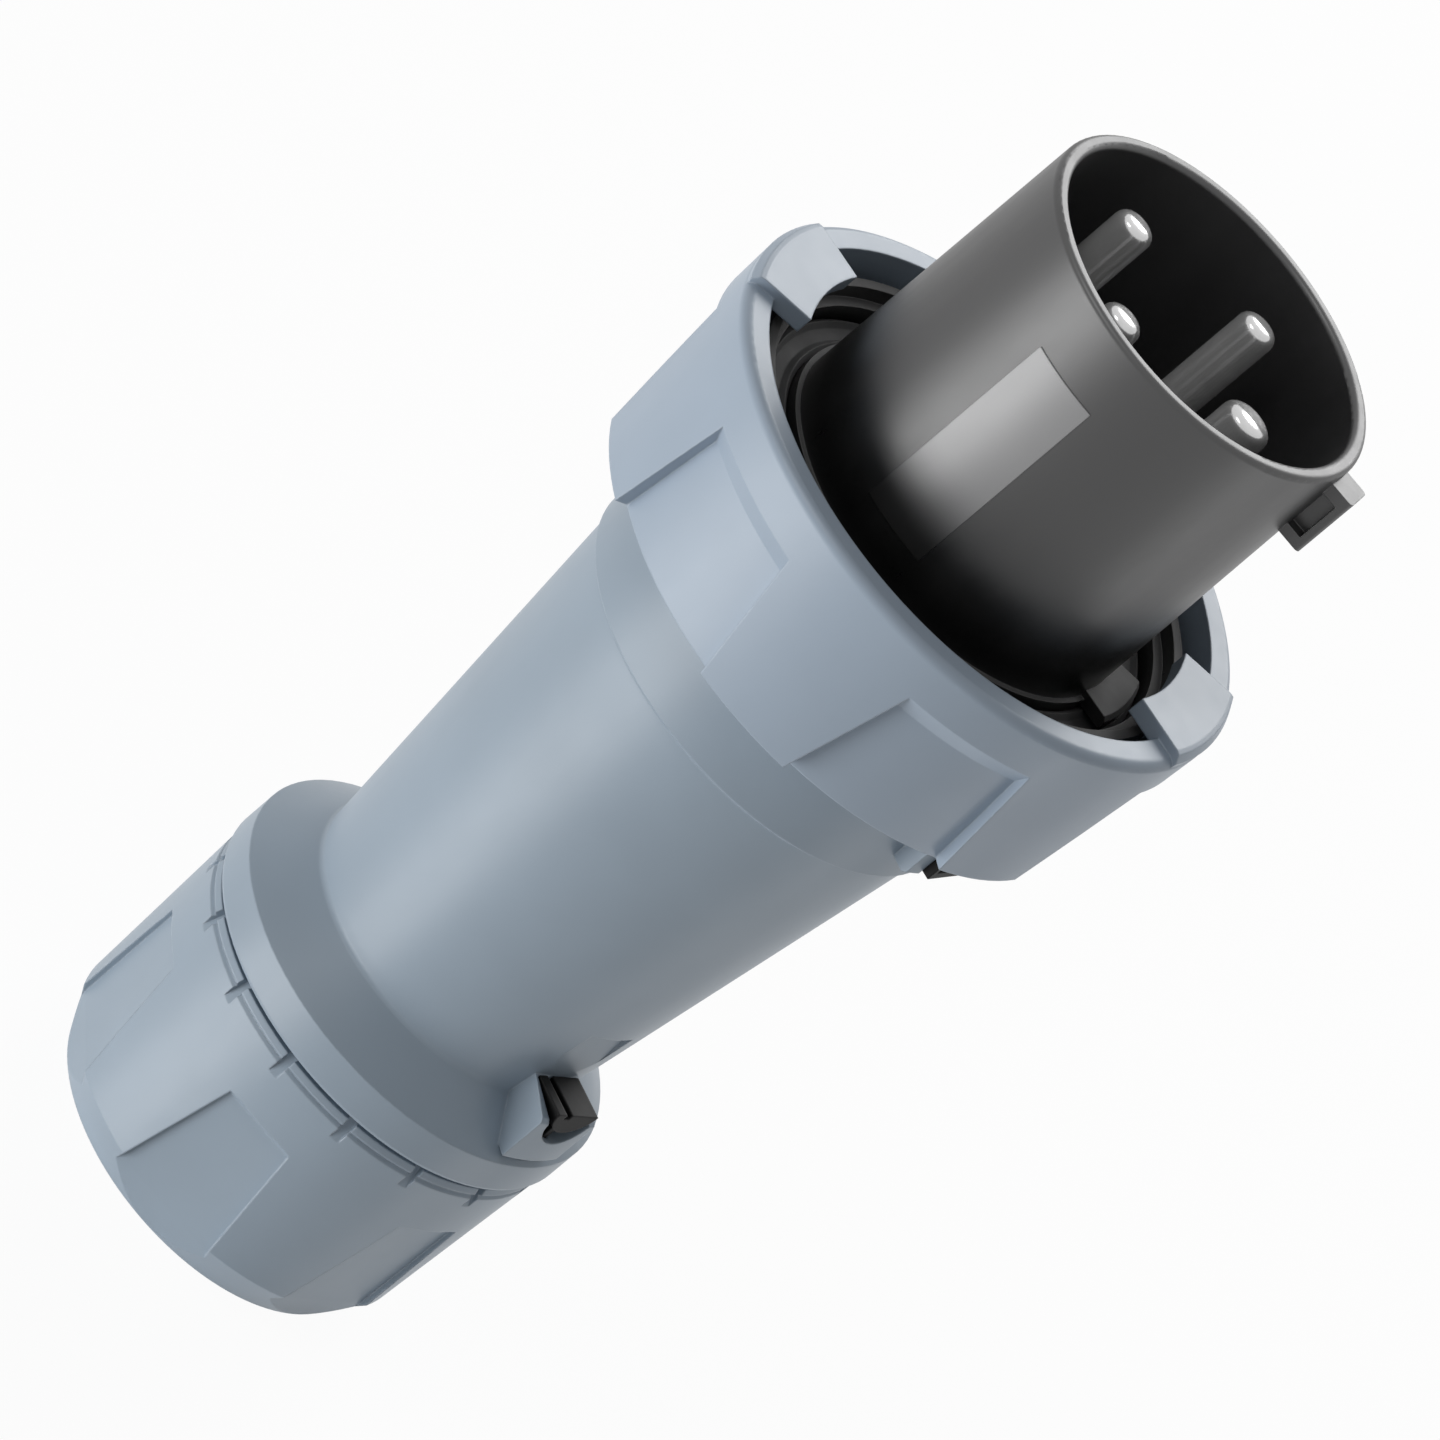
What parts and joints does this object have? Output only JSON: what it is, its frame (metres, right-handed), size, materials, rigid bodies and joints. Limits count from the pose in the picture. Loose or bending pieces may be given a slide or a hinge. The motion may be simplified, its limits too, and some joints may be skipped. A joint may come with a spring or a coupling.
{
  "type": "industrial power plug",
  "caption": "Industrial power plug for 63 A with a bayonet coupling ring, round pins inside a keyed shroud, a tapered handle with two lock slides and a screwed cable gland.",
  "frame": {"origin": "centre of the gland nut's flat rear face, which is the middle of the foot of the bounding box", "axes": "+Z along the plug's axis from the cable end to the mouth of the shroud, +X towards the key of the shroud"},
  "size_m": [0.1118, 0.1116, 0.252],
  "materials": {
    "housing_plastic": "blue-grey, fine moulded grain",
    "contact_plastic": "dark grey, satin",
    "gland_plastic": "dark grey, matt",
    "lock_plastic": "black, satin",
    "seal_rubber": "black, matt",
    "pin_nickel": "nickel plated brass, fine turned",
    "zinc_steel": "zinc plated"
  },
  "bodies": {
    "handle": {"handle_shell": "housing_plastic", "contact_insert": "contact_plastic", "face_seal": "seal_rubber", "pin_l1": "pin_nickel", "pin_l2": "pin_nickel", "pin_l3": "pin_nickel", "pin_earth": "pin_nickel", "terminal_screws": "zinc_steel", "wire_clamps": "zinc_steel", "terminal_carrier": "contact_plastic", "carrier_screw": "zinc_steel", "body_o_ring": "seal_rubber", "slide_washer": "gland_plastic", "clamp_cage": "gland_plastic", "gland_seal": "seal_rubber", "seal_reducer": "seal_rubber"},
    "ring": {"coupling_ring": "housing_plastic"},
    "gland": {"thrust_ring": "gland_plastic"},
    "nut": {"gland_nut": "housing_plastic"},
    "front_slide": {"front_lock_slide": "lock_plastic"},
    "rear_slide": {"rear_lock_slide": "lock_plastic"}
  },
  "joints": [
    {"name": "ring_turn", "type": "hinge", "parent": "handle", "child": "ring", "pos_m": [0, 0, 0.175], "axis": [0, 0, 1], "range_deg": [0, 45]},
    {"name": "gland_travel", "type": "slide", "parent": "handle", "child": "gland", "axis": [0, 0, -1], "range_m": [0, 0.0151]},
    {"name": "nut_turn", "type": "hinge", "parent": "gland", "child": "nut", "pos_m": [0, 0, 0.023], "axis": [0, 0, -1], "range_deg": [0, 1800]},
    {"name": "front_slide_travel", "type": "slide", "parent": "handle", "child": "front_slide", "axis": [0, 0, -1], "range_m": [0, 0.004]},
    {"name": "rear_slide_travel", "type": "slide", "parent": "handle", "child": "rear_slide", "axis": [0, 0, -1], "range_m": [0, 0.0025]}
  ],
  "couplings": [
    {"joint": "gland_travel", "follows": "nut_turn", "m_per_rad": 0.00047746}
  ]
}
